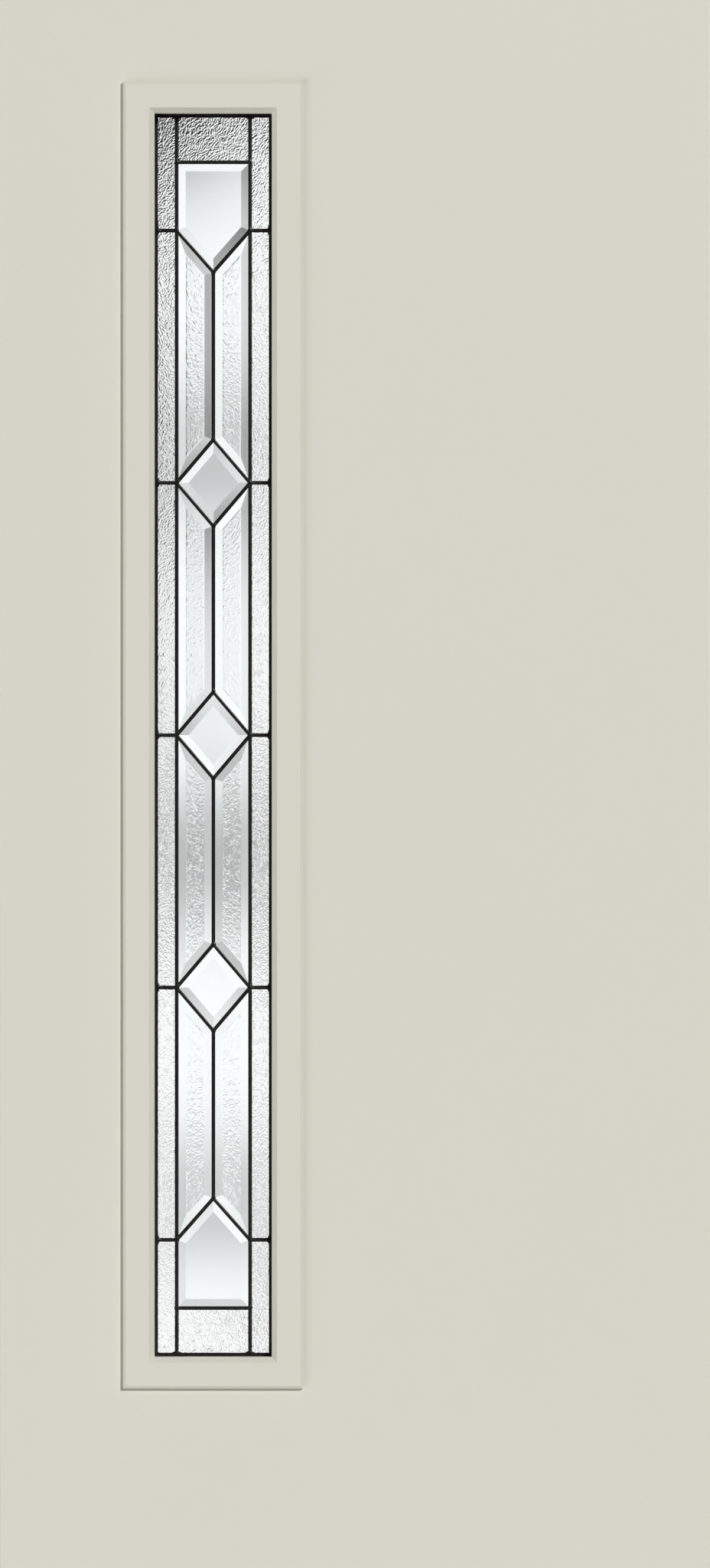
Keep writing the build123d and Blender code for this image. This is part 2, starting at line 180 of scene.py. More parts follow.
# Painted and moulded surfaces
def baked_enamel():
    """Polyester enamel, sprayed on galvanised steel and baked: an even greige satin with a faint orange
    peel."""
    material, tree, at = new_material("baked enamel, satin")
    drift = add(tree, "TexNoise", {"Vector": at, "Scale": per_metre(240), "Detail": 3.0})
    peel = add(tree, "TexNoise", {"Vector": at, "Scale": per_metre(2.6), "Detail": 2.0})
    colour = add(
        tree,
        "Mix",
        {0: drift.outputs[0], 6: linear("#D8D6CA"), 7: linear("#D5D3C7")},
        data_type="RGBA",
    )
    gloss = add(tree, "MapRange", {"Value": drift.outputs[0], "To Min": 0.40, "To Max": 0.50})
    bump = add(tree, "Bump", {"Height": peel.outputs[0], "Strength": 0.25, "Distance": 0.03 * MM})
    paint = add(
        tree,
        "BsdfPrincipled",
        {
            "Base Color": colour.outputs[2],
            "Roughness": gloss.outputs[0],
            "IOR": 1.48,
            "Normal": bump.outputs[0],
        },
    )
    add(tree, "OutputMaterial", {"Surface": paint.outputs[0]})
    return material


def moulded_frame_plastic():
    """Injection moulded ABS, painted to match the leaf: a fine sparked grain that takes the light softly."""
    material, tree, at = new_material("moulded ABS, fine grain")
    drift = add(tree, "TexNoise", {"Vector": at, "Scale": per_metre(90), "Detail": 2.0})
    grain = add(tree, "TexNoise", {"Vector": at, "Scale": per_metre(0.9), "Detail": 3.0, "Roughness": 0.6})
    colour = add(
        tree,
        "Mix",
        {0: drift.outputs[0], 6: linear("#D6D4C8"), 7: linear("#D3D1C4")},
        data_type="RGBA",
    )
    gloss = add(tree, "MapRange", {"Value": grain.outputs[0], "To Min": 0.42, "To Max": 0.58})
    bump = add(tree, "Bump", {"Height": grain.outputs[0], "Strength": 0.30, "Distance": 0.04 * MM})
    plastic = add(
        tree,
        "BsdfPrincipled",
        {
            "Base Color": colour.outputs[2],
            "Roughness": gloss.outputs[0],
            "IOR": 1.50,
            "Normal": bump.outputs[0],
        },
    )
    add(tree, "OutputMaterial", {"Surface": plastic.outputs[0]})
    return material


def plug_plastic():
    """Moulded polyethylene plugs in the frame's colour: a shade smoother and warmer than the frame."""
    material, tree, at = new_material("moulded polyethylene, smooth")
    swirl = add(tree, "TexNoise", {"Vector": at, "Scale": per_metre(3.5), "Detail": 2.0, "Distortion": 0.8})
    colour = add(
        tree,
        "Mix",
        {0: swirl.outputs[0], 6: linear("#D2CFC1"), 7: linear("#CCC9BB")},
        data_type="RGBA",
    )
    bump = add(tree, "Bump", {"Height": swirl.outputs[0], "Strength": 0.2, "Distance": 0.03 * MM})
    plastic = add(
        tree,
        "BsdfPrincipled",
        {"Base Color": colour.outputs[2], "Roughness": 0.38, "IOR": 1.51, "Normal": bump.outputs[0]},
    )
    add(tree, "OutputMaterial", {"Surface": plastic.outputs[0]})
    return material


def planed_pine(name, stretch):
    """Planed pine, where stretch is how the grain's pattern is drawn out along each axis: pale early wood,
    darker late wood in bands about 4 mm apart, and fine pores along the grain."""
    material, tree, at = new_material(name)
    along = add(tree, "Mapping", {"Vector": at, "Scale": stretch})
    bands = add(
        tree,
        "TexNoise",
        {"Vector": along.outputs[0], "Scale": per_metre(4.0), "Detail": 3.0, "Distortion": 0.6},
    )
    pores = add(tree, "TexNoise", {"Vector": along.outputs[0], "Scale": per_metre(0.7), "Detail": 2.0})
    late = add(tree, "MapRange", {"Value": bands.outputs[0], "From Min": 0.38, "From Max": 0.66})
    wood = add(
        tree,
        "Mix",
        {0: late.outputs[0], 6: linear("#DCBE8E"), 7: linear("#B98A55")},
        data_type="RGBA",
    )
    pored = add(
        tree,
        "Mix",
        {0: pores.outputs[0], 6: wood.outputs[2], 7: linear("#C9A06A")},
        data_type="RGBA",
    )
    bump = add(tree, "Bump", {"Height": pores.outputs[0], "Strength": 0.35, "Distance": 0.08 * MM})
    timber = add(
        tree,
        "BsdfPrincipled",
        {"Base Color": pored.outputs[2], "Roughness": 0.62, "IOR": 1.50, "Normal": bump.outputs[0]},
    )
    add(tree, "OutputMaterial", {"Surface": timber.outputs[0]})
    return material


def rigid_foam():
    """Polyurethane foam, poured between the skins: straw yellow, with closed cells under a millimetre
    wide."""
    material, tree, at = new_material("polyurethane foam, closed cell")
    cells = add(tree, "TexVoronoi", {"Vector": at, "Scale": per_metre(0.9)})
    colour = add(
        tree,
        "Mix",
        {0: cells.outputs["Distance"], 6: linear("#C9A85C"), 7: linear("#E8D59A")},
        data_type="RGBA",
    )
    bump = add(tree, "Bump", {"Height": cells.outputs["Distance"], "Strength": 0.6, "Distance": 0.2 * MM})
    foam = add(
        tree,
        "BsdfPrincipled",
        {"Base Color": colour.outputs[2], "Roughness": 0.85, "IOR": 1.45, "Normal": bump.outputs[0]},
    )
    add(tree, "OutputMaterial", {"Surface": foam.outputs[0]})
    return material


def foam_tape(name, light, dark, cell):
    """Closed cell foam tape, slit from a sheet: a dull even skin pricked with cells, so many millimetres
    apart."""
    material, tree, at = new_material(name)
    cells = add(tree, "TexVoronoi", {"Vector": at, "Scale": per_metre(cell)})
    colour = add(
        tree,
        "Mix",
        {0: cells.outputs["Distance"], 6: linear(dark), 7: linear(light)},
        data_type="RGBA",
    )
    bump = add(tree, "Bump", {"Height": cells.outputs["Distance"], "Strength": 0.5, "Distance": 0.1 * MM})
    tape = add(
        tree,
        "BsdfPrincipled",
        {"Base Color": colour.outputs[2], "Roughness": 0.75, "IOR": 1.45, "Normal": bump.outputs[0]},
    )
    add(tree, "OutputMaterial", {"Surface": tape.outputs[0]})
    return material


def edge_sealant():
    """Polysulphide sealant, troweled round the unit: black rubber, dull, with low trowel waves."""
    material, tree, at = new_material("polysulphide sealant, troweled")
    waves = add(tree, "TexNoise", {"Vector": at, "Scale": per_metre(6.0), "Detail": 2.0})
    colour = add(
        tree,
        "Mix",
        {0: waves.outputs[0], 6: linear("#1C1D1E"), 7: linear("#2B2B2C")},
        data_type="RGBA",
    )
    bump = add(tree, "Bump", {"Height": waves.outputs[0], "Strength": 0.5, "Distance": 0.3 * MM})
    rubber = add(
        tree,
        "BsdfPrincipled",
        {"Base Color": colour.outputs[2], "Roughness": 0.5, "IOR": 1.52, "Normal": bump.outputs[0]},
    )
    add(tree, "OutputMaterial", {"Surface": rubber.outputs[0]})
    return material


# Metals
def rolled_metal(name, pale, dark, roughness, streak):
    """Bright metal, roll formed or plated, with streaks that are streak millimetres apart: they break up its
    reflections."""
    material, tree, at = new_material(name)
    streaks = add(tree, "TexNoise", {"Vector": at, "Scale": per_metre(streak), "Detail": 4.0})
    colour = add(
        tree,
        "Mix",
        {0: streaks.outputs[0], 6: linear(pale), 7: linear(dark)},
        data_type="RGBA",
    )
    gloss = add(
        tree,
        "MapRange",
        {"Value": streaks.outputs[0], "To Min": roughness - 0.08, "To Max": roughness + 0.08},
    )
    bump = add(tree, "Bump", {"Height": streaks.outputs[0], "Strength": 0.2, "Distance": 0.02 * MM})
    metal = add(
        tree,
        "BsdfPrincipled",
        {
            "Base Color": colour.outputs[2],
            "Metallic": 1.0,
            "Roughness": gloss.outputs[0],
            "Normal": bump.outputs[0],
        },
    )
    add(tree, "OutputMaterial", {"Surface": metal.outputs[0]})
    return material


def patinated_lead(name, dark, pale, roughness):
    """Lead or solder under a black patina, brushed on and waxed: nearly black, a little uneven, with soft
    lights on its rounded edges. The patina hides the metal, so a dark coat is drawn and no metal."""
    material, tree, at = new_material(name)
    blotches = add(tree, "TexNoise", {"Vector": at, "Scale": per_metre(9.0), "Detail": 4.0})
    dimples = add(tree, "TexNoise", {"Vector": at, "Scale": per_metre(1.8), "Detail": 2.0})
    colour = add(
        tree,
        "Mix",
        {0: blotches.outputs[0], 6: linear(dark), 7: linear(pale)},
        data_type="RGBA",
    )
    gloss = add(
        tree,
        "MapRange",
        {"Value": blotches.outputs[0], "To Min": roughness - 0.05, "To Max": roughness + 0.05},
    )
    bump = add(tree, "Bump", {"Height": dimples.outputs[0], "Strength": 0.35, "Distance": 0.12 * MM})
    lead = add(
        tree,
        "BsdfPrincipled",
        {
            "Base Color": colour.outputs[2],
            "Roughness": gloss.outputs[0],
            "IOR": 1.40,
            "Normal": bump.outputs[0],
        },
    )
    add(tree, "OutputMaterial", {"Surface": lead.outputs[0]})
    return material


# Glasses
def float_glass():
    """Float glass of the sealed unit, drawn as panes that light passes straight through: clear, with a
    reflection that grows from a few percent to all of it at a glancing view."""
    material, tree, at = new_material("float glass, clear")
    wave = add(tree, "TexNoise", {"Vector": at, "Scale": per_metre(180), "Detail": 1.0})
    bump = add(tree, "Bump", {"Height": wave.outputs[0], "Strength": 0.3, "Distance": 0.2 * MM})
    facing = add(tree, "LayerWeight", {"Blend": 0.5})
    glance = add(tree, "Math", {0: facing.outputs["Facing"], 1: 5.0}, operation="POWER")
    share = add(tree, "Math", {0: glance.outputs[0], 1: 0.96, 2: 0.04}, operation="MULTIPLY_ADD")
    clear = add(tree, "BsdfTransparent", {"Color": linear("#FEFEFE")})
    mirror = add(tree, "BsdfGlossy", {"Roughness": 0.0, "Normal": bump.outputs[0]})
    pane = add(tree, "MixShader", {0: share.outputs[0], 1: clear.outputs[0], 2: mirror.outputs[0]})
    add(tree, "OutputMaterial", {"Surface": pane.outputs[0]})
    return material


def pattern_glass(name, tint, ripple, depth):
    """Soda lime glass, where ripple and depth are the size and height in millimetres of what its making left
    on it: polishing waves on a bevel, or fine roller marks between the strokes of a textured sheet."""
    material, tree, at = new_material(name)
    marks = add(tree, "TexNoise", {"Vector": at, "Scale": per_metre(ripple), "Detail": 2.0})
    bump = add(tree, "Bump", {"Height": marks.outputs[0], "Strength": 1.0, "Distance": depth * MM})
    glass = add(
        tree,
        "BsdfPrincipled",
        {
            "Base Color": linear(tint),
            "Roughness": 0.0,
            "IOR": 1.52,
            "Transmission Weight": 1.0,
            "Normal": bump.outputs[0],
        },
    )
    add(tree, "OutputMaterial", {"Surface": glass.outputs[0]})
    return material


def dress(material, *nodes):
    """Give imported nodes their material."""
    for name in nodes:
        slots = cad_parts[name].data.materials
        slots.clear()
        slots.append(material)


# Stretch of the pine's grain along X, Y and Z
UPRIGHT_GRAIN = (1.0, 1.0, 0.03)
LEVEL_GRAIN = (0.03, 1.0, 1.0)

lead = patinated_lead("lead came, black patina", "#181817", "#22211F", 0.30)
solder = patinated_lead("tin solder, black patina", "#1A1A19", "#272624", 0.20)
clear_bevel = pattern_glass("bevelled plate glass, polished", "#FDFEFE", 30.0, 0.01)
stroked_glass = pattern_glass("rolled glass, stroked", "#FEFDFD", 1.1, 0.03)
chipped_glass = pattern_glass("bevelled glass, glue chipped", "#FDFEFE", 1.4, 0.01)

dress(baked_enamel(), "exterior_skin", "interior_skin")
dress(planed_pine("planed pine, upright grain", UPRIGHT_GRAIN), "hinge_stile", "lock_stile")
dress(planed_pine("planed pine, level grain", LEVEL_GRAIN), "top_rail", "bottom_rail")
dress(rigid_foam(), "foam_core")
dress(moulded_frame_plastic(), "exterior_lite_frame", "interior_lite_frame")
dress(rolled_metal("steel screw, zinc plated", "#C9CCCB", "#A9A696", 0.30, 1.5), "frame_screws")
dress(plug_plastic(), "screw_plugs")
dress(
    foam_tape("polyethylene foam tape, grey", "#8B8B87", "#5E5E5B", 0.8),
    "exterior_perimeter_seal",
    "interior_perimeter_seal",
)
dress(
    foam_tape("acrylic foam tape, white", "#E3E2DC", "#BDBCB6", 0.5),
    "exterior_glazing_tape",
    "interior_glazing_tape",
)
dress(float_glass(), "exterior_pane", "interior_pane")
dress(rolled_metal("aluminium spacer, mill finish", "#C6C8CA", "#A4A6A8", 0.34, 2.0), "spacer_frame")
dress(edge_sealant(), "unit_edge_seal")
dress(
    lead,
    "border_came",
    "left_upright_came",
    "right_upright_came",
    "left_cross_cames",
    "right_cross_cames",
    "top_bar_came",
    "bottom_bar_came",
    "top_chevron_came",
    "bottom_chevron_came",
    "upper_diamond_came",
    "middle_diamond_came",
    "lower_diamond_came",
    "centre_cames",
)
dress(
    clear_bevel,
    "top_house_bevel",
    "bottom_house_bevel",
    "upper_diamond_bevel",
    "middle_diamond_bevel",
    "lower_diamond_bevel",
)


# Surfaces worked out on grids
def new_piece(name, parts, material):
    """One piece from several closed surfaces, each given as its points, its triangles and which of them are
    smooth."""
    counts = np.cumsum([0] + [len(points) for points, _, _ in parts])
    points = np.concatenate([part[0] for part in parts])
    triangles = np.concatenate([part[1] + start for part, start in zip(parts, counts)])
    smooth = np.concatenate([part[2] for part in parts])
    mesh = bpy.data.meshes.new(name)
    mesh.vertices.add(len(points))
    mesh.vertices.foreach_set("co", points.ravel())
    mesh.loops.add(triangles.size)
    mesh.loops.foreach_set("vertex_index", triangles.ravel())
    mesh.polygons.add(len(triangles))
    mesh.polygons.foreach_set("loop_start", np.arange(0, triangles.size, 3))
    mesh.polygons.foreach_set("use_smooth", smooth)
    mesh.update(calc_edges=True)
    mesh.materials.append(material)
    piece = bpy.data.objects.new(name, mesh)
    bpy.context.scene.collection.objects.link(piece)
    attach(piece, "root")
    return piece


def sheet_surface(x, z, front_y, back_y, relief):
    """Closed sheet of glass. Its front is a grid whose point (row, column) lies at (x, front y, z), and
    relief says which points are smooth. Its back is one flat face through the grid's four corners at back_y.
    Each of its four sides is a fan of triangles from a back corner to the front's edge."""
    rows, columns = x.shape
    front = np.stack([x, front_y, z], axis=-1).reshape(-1, 3)
    index = np.arange(rows * columns).reshape(rows, columns)
    low_left, low_right = index[:-1, :-1], index[:-1, 1:]
    high_left, high_right = index[1:, :-1], index[1:, 1:]
    # Each cell is cut along the diagonal that runs towards the nearest corner of the sheet, as a mitre does
    row_half = np.arange(rows - 1)[:, None] < (rows - 1) / 2
    column_half = np.arange(columns - 1)[None, :] < (columns - 1) / 2
    rising = (row_half == column_half)[..., None]
    first = np.where(
        rising,
        np.stack([low_left, low_right, high_right], axis=-1),
        np.stack([low_left, low_right, high_left], axis=-1),
    )
    second = np.where(
        rising,
        np.stack([low_left, high_right, high_left], axis=-1),
        np.stack([low_right, high_right, high_left], axis=-1),
    )
    cell_smooth = relief[:-1, :-1] & relief[1:, 1:] & relief[:-1, 1:] & relief[1:, :-1]
    edges = [index[0], index[:, -1], index[-1, ::-1], index[::-1, 0]]
    corners = [edge[0] for edge in edges]
    back = front[corners].copy()
    back[:, 1] = back_y
    first_back = rows * columns
    walls = []
    for side, edge in enumerate(edges):
        here, following = first_back + side, first_back + (side + 1) % 4
        fan = np.stack([np.full(len(edge) - 1, here), edge[1:], edge[:-1]], axis=-1)
        walls += [fan, [[here, following, edge[-1]]]]
    flat = np.array([[0, 3, 2], [0, 2, 1]]) + first_back
    walls = np.concatenate(walls + [flat])
    triangles = np.concatenate([first.reshape(-1, 3), second.reshape(-1, 3), walls])
    smooth = np.concatenate([cell_smooth.ravel(), cell_smooth.ravel(), np.zeros(len(walls), bool)])
    return np.concatenate([front, back]), triangles, smooth


def frequencies(shape):
    """Frequencies down and across a relief's grid, in waves for each metre."""
    return np.meshgrid(
        np.fft.fftfreq(shape[0], RELIEF_STEP),
        np.fft.rfftfreq(shape[1], RELIEF_STEP),
        indexing="ij",
    )


def filtered_noise(shape, keep, draw):
    """White noise with its spectrum multiplied by keep, scaled to unit spread."""
    noise = np.fft.irfft2(np.fft.rfft2(draw.standard_normal(shape)) * keep, shape)
    return noise / noise.std()


def slow_noise(shape, size, draw):
    """Smooth noise with patches about size across: exp(-(size f)^2) of each frequency f is kept."""
    down, across = frequencies(shape)
    return filtered_noise(shape, np.exp(-(size * np.hypot(down, across)) ** 2), draw)


def combed_noise(shape, lean, wave, run, draw):
    """Short ripples that all run about one way: exp(-(e (|a| wave - 1))^2 - (b run)^2) is kept of a
    frequency that is a across the lean and b along it, with e the ripples' evenness."""
    down, across = frequencies(shape)
    along = across * math.cos(lean) + down * math.sin(lean)
    aside = down * math.cos(lean) - across * math.sin(lean)
    keep = np.exp(-((np.abs(aside) * wave - 1) * RIPPLE_EVENNESS) ** 2 - (along * run) ** 2)
    return filtered_noise(shape, keep, draw)


def leaning_noise(shape, leans, wave, run, patch, draw):
    """Ripples that lean several ways in turn, scaled to unit spread: each combed noise is weighed by
    exp(c n) of a slow noise n of its own, with c the contrast of the patches."""
    ripples = [combed_noise(shape, math.radians(lean), wave, run, draw) for lean in leans]
    weights = [np.exp(PATCH_CONTRAST * slow_noise(shape, patch, draw)) for _ in leans]
    noise = sum(w * r for w, r in zip(weights, ripples)) / sum(weights)
    return noise / noise.std()


def worked_relief(shape, glass, draw):
    """How deep a patterned glass is sunk at each point. The ripples are a leaning noise scaled to their
    slope and cut off at their depth. The grooves run where a wider leaning noise n is near zero: depth
    exp(-(n / w)^2), with w from their width. They come and go with their presence, which is a slow noise
    times their unevenness, added to the mean presence and kept between 0 and 1."""
    wave, run, slope = glass["ripple"]
    ripple = leaning_noise(shape, glass["leans"], wave, run, glass["patch"], draw)
    slopes = np.gradient(ripple, RELIEF_STEP)
    ripple = ripple * slope / math.sqrt(np.mean(slopes[0] ** 2 + slopes[1] ** 2))
    spacing, width, depth = glass["groove"]
    lines = leaning_noise(shape, glass["leans"], spacing, spacing, glass["patch"], draw)
    unevenness = GROOVE_UNEVENNESS * slow_noise(shape, GROOVE_PATCH * spacing, draw)
    presence = np.clip(GROOVE_PRESENCE + unevenness, 0, 1)
    grooves = depth * presence * np.exp(-(lines * spacing / (2 * math.pi * width)) ** 2)
    return np.clip(ripple + RIPPLE_DEPTH / 2, 0, RIPPLE_DEPTH) + grooves


def textured_sheet(low_x, high_x, low_z, high_z, front_y, back_y, seed):
    """Rolled sheet of glass between two corners, its front sunk by a stroked relief."""
    columns = round((high_x - low_x) / RELIEF_STEP) + 1
    rows = round((high_z - low_z) / RELIEF_STEP) + 1
    x, z = np.meshgrid(np.linspace(low_x, high_x, columns), np.linspace(low_z, high_z, rows))
    strokes = worked_relief(x.shape, ROLLED, np.random.default_rng(seed))
    return sheet_surface(x, z, front_y + strokes, back_y, np.ones(x.shape, bool))


def border_rows(low, high):
    """Heights between which the border's sheets run, from one end of the node to the other."""
    inner = [lite_z + level for level in cross_levels[::-1]]
    lows = [low] + [level + GLASS_GAP for level in inner]
    highs = [level - GLASS_GAP for level in inner] + [high]
    return list(zip(lows, highs))


for side, place in enumerate(("left", "right")):
    node = f"{place}_border_glass"
    low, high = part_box(node)
    sheets = [
        textured_sheet(low.x, high.x, low_z, high_z, low.y, high.y, BORDER_SEED_STEP * side + row)
        for row, (low_z, high_z) in enumerate(border_rows(low.z, high.z))
    ]
    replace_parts(new_piece(f"{place}_stroked_border", sheets, stroked_glass), node)
for side, place in enumerate(("top", "bottom")):
    node = f"{place}_panel_glass"
    low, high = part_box(node)
    sheet = textured_sheet(low.x, high.x, low.z, high.z, low.y, high.y, PANEL_SEED + side)
    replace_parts(new_piece(f"{place}_stroked_panel", [sheet], stroked_glass), node)


def under_shape(level, reach, x):
    """Height of the glass edge under a pointed came at x: its point is reach below the level and
    g sqrt(1 + s^2) further down, and the edge climbs by the slope s with the distance from the middle."""
    slope = reach / upright_x
    return lite_z + level - reach - GLASS_GAP * math.hypot(1, slope) + slope * np.abs(x - lite_x)


def over_shape(level, reach, x):
    """Height of the glass edge over a pointed came at x, which mirrors the edge under it."""
    return 2 * (lite_z + level) - under_shape(level, reach, x)


def bevel_share(flat_points):
    """Share of the grind along a line over the plate: it rises from 0 at an edge to 1 where the bevel ends,
    stays there over the points of the flat and falls again."""
    rise = np.arange(BEVEL_STEPS) / BEVEL_STEPS
    return np.concatenate([rise, np.ones(flat_points), rise[::-1]])


def long_bevel(low_x, high_x, upper, lower, edge_y, back_y, seed):
    """Bevelled plate between two upright edges and two leaning ends. On the grid the front stands out from
    the ground edge by the bevel's grind times the lesser of two shares, one counted across and one up. The
    flat in the middle is sunk by glue chipping, which fades towards the bevels."""
    rise = np.arange(BEVEL_STEPS) / BEVEL_STEPS
    flat_columns = round((high_x - low_x - 2 * BEVEL_WIDTH) / RELIEF_STEP) + 1
    across = np.concatenate(
        [
            low_x + rise * BEVEL_WIDTH,
            np.linspace(low_x + BEVEL_WIDTH, high_x - BEVEL_WIDTH, flat_columns),
            high_x - rise[::-1] * BEVEL_WIDTH,
        ]
    )
    bottom, top = over_shape(*lower, across), under_shape(*upper, across)
    bottom_width = BEVEL_WIDTH * math.hypot(1, lower[1] / upright_x)
    top_width = BEVEL_WIDTH * math.hypot(1, upper[1] / upright_x)
    flat_low, flat_high = bottom + bottom_width, top - top_width
    flat_rows = round((np.mean(top - bottom) - bottom_width - top_width) / RELIEF_STEP) + 1
    climb = np.linspace(0, 1, flat_rows)[:, None]
    z = np.concatenate(
        [
            bottom + rise[:, None] * bottom_width,
            flat_low * (1 - climb) + flat_high * climb,
            top - rise[::-1, None] * top_width,
        ]
    )
    x = np.broadcast_to(across, z.shape)
    share = np.minimum(bevel_share(flat_rows)[:, None], bevel_share(flat_columns)[None, :])
    inset = np.minimum(
        np.minimum(x - low_x, high_x - x) - BEVEL_WIDTH,
        np.minimum(z - flat_low, flat_high - z),
    )
    chips = worked_relief(x.shape, CHIPPED, np.random.default_rng(seed))
    front_y = edge_y - BEVEL_GRIND * share + chips * np.clip(inset / CHIP_FADE, 0, 1)
    return sheet_surface(x, z, front_y, back_y, share == 1)


for place, side in (("left", -1), ("right", 1)):
    node = f"{place}_long_bevels"
    low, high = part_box(node)
    first_seed = BEVEL_SEED + BEVEL_SEED_STEP * side
    plates = [
        long_bevel(low.x, high.x, upper, lower, low.y + BEVEL_GRIND, high.y, first_seed + row)
        for row, (upper, lower) in enumerate(zip(middle_shapes, middle_shapes[1:]))
    ]
    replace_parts(new_piece(f"{place}_chipped_bevels", plates, chipped_glass), node)


# Solder at the joints of the cames
def joint_places():
    """Each joint as x and z from the middle of the lite and the ways in degrees that cames leave it."""
    places = []
    last = CROSS_ROWS - 1
    for side, outward in ((-1, 180), (1, 0)):
        inward = 180 - outward
        for row, (level, reach) in enumerate(middle_shapes):
            lean = math.degrees(math.atan2(reach, upright_x))
            leans = {0: (-lean,), last: (lean,)}.get(row, (lean, -lean))
            ways = [way if side < 0 else 180 - way for way in leans]
            places.append((side * upright_x, level, [90, 270, outward, *ways]))
            places.append((side * border_x, level, [90, 270, inward]))
        for end, back in ((1, 270), (-1, 90)):
            places.append((side * upright_x, end * bar_z, [90, 270, inward]))
            places.append((side * upright_x, end * border_z, [0, 180, back]))
    for row, (level, reach) in enumerate(middle_shapes):
        lean = math.degrees(math.atan2(reach, upright_x))
        if row < last:
            places.append((0, level - reach, [lean, 180 - lean, 270]))
        if row > 0:
            places.append((0, level + reach, [-lean, 180 + lean, 90]))
    return places


def puddle_outline(ways, draw):
    """Angles round a joint, and the distance of the puddle's outline at each: a core plus an arm times the
    sum of exp(-(angle from a came / spread)^2) over the cames, with a slow ripple of two and three waves."""
    angle = np.linspace(0, 2 * math.pi, SOLDER_SECTORS, endpoint=False)
    gap = np.abs((angle[None, :] - np.radians(ways)[:, None] + math.pi) % (2 * math.pi) - math.pi)
    arms = np.exp(-(gap / SOLDER_ARM_SPREAD) ** 2).sum(axis=0)
    two_waves = 0.07 * np.cos(2 * angle + draw.uniform(0, 6))
    three_waves = 0.05 * np.cos(3 * angle + draw.uniform(0, 6))
    return angle, (SOLDER_CORE + SOLDER_ARM * arms) * (1 + two_waves + three_waves)


def solder_puddle(x, z, ways, facing, draw):
    """Puddle of solder round one joint. Over the share r of its outline's distance it stands sqrt(1 - r^2)
    of its height over a level that is tucked into the came. A skirt and a flat underside close it."""
    angle, outline = puddle_outline(ways, draw)
    share = np.append(np.linspace(0, 1, SOLDER_RINGS + 1)[1:], 1.0)[:, None]
    height = CAME_CROWN - SOLDER_TUCK + (SOLDER_RISE + SOLDER_TUCK) * np.sqrt(1 - share ** 2)
    height = height + np.zeros_like(angle)
    height[-1] -= SOLDER_SKIRT
    ring_x = lite_x + x + share * outline * np.cos(angle)
    ring_z = lite_z + z + share * outline * np.sin(angle)
    rings = np.stack([ring_x, facing * height, ring_z], axis=-1).reshape(-1, 3)
    top = [lite_x + x, facing * (CAME_CROWN + SOLDER_RISE), lite_z + z]
    foot = [lite_x + x, facing * height[-1, 0], lite_z + z]
    points = np.concatenate([[top], rings, [foot]])
    index = np.arange(len(rings)).reshape(-1, SOLDER_SECTORS) + 1
    after = np.roll(index, -1, axis=1)
    cap = np.stack([np.zeros(SOLDER_SECTORS, int), index[0], after[0]], axis=-1)
    one = np.stack([index[:-1], index[1:], after[1:]], axis=-1).reshape(-1, 3)
    two = np.stack([index[:-1], after[1:], after[:-1]], axis=-1).reshape(-1, 3)
    base = np.stack([np.full(SOLDER_SECTORS, len(points) - 1), after[-1], index[-1]], axis=-1)
    triangles = np.concatenate([cap, one, two, base])
    if facing > 0:
        triangles = triangles[:, ::-1]
    smooth = np.arange(len(triangles)) < len(triangles) - SOLDER_SECTORS
    return points, triangles, smooth


for place, facing in (("exterior", -1), ("interior", 1)):
    draw = np.random.default_rng(SOLDER_SEED + facing)
    puddles = [solder_puddle(*joint, facing, draw) for joint in joint_places()]
    new_piece(f"{place}_solder", puddles, solder)


# Stage: floor, what is seen through the glass, light and camera
def stage_card(name, points, faces, material):
    """Flat card on the stage."""
    mesh = bpy.data.meshes.new(name)
    mesh.from_pydata(points, [], faces)
    mesh.materials.append(material)
    card = bpy.data.objects.new(name, mesh)
    bpy.context.scene.collection.objects.link(card)
    return card


def only_seen_by(card, ray):
    """Hide a card from every kind of ray but one."""
    for kind in ("camera", "diffuse", "glossy", "transmission", "volume_scatter", "shadow"):
        setattr(card, f"visible_{kind}", kind == ray)


def floor_material():
    """Matt studio floor paint, rolled: pale, with a faint mottle."""
    material, tree, at = new_material("floor paint, matt")
    mottle = add(tree, "TexNoise", {"Vector": at, "Scale": per_metre(400), "Detail": 3.0})
    colour = add(
        tree,
        "Mix",
        {0: mottle.outputs[0], 6: linear("#ECEBE8"), 7: linear("#E6E5E2")},
        data_type="RGBA",
    )
    paint = add(tree, "BsdfPrincipled", {"Base Color": colour.outputs[2], "Roughness": 0.7})
    add(tree, "OutputMaterial", {"Surface": paint.outputs[0]})
    return material


SQUARE = ((-1, -1), (1, -1), (1, 1), (-1, 1))
FLOOR_HALF = 60.0
FLOOR_DROP = 0.2 * MM


def studio_floor():
    """Floor just under the leaf. It lets the fill lamps' light through, because they stand lower than it,
    and throws none back on the leaf."""
    corners = [(a * FLOOR_HALF, b * FLOOR_HALF, -FLOOR_DROP) for a, b in SQUARE]
    floor = stage_card("floor", corners, [(0, 1, 2, 3)], floor_material())
    floor.visible_shadow = False
    floor.visible_diffuse = False


studio_floor()

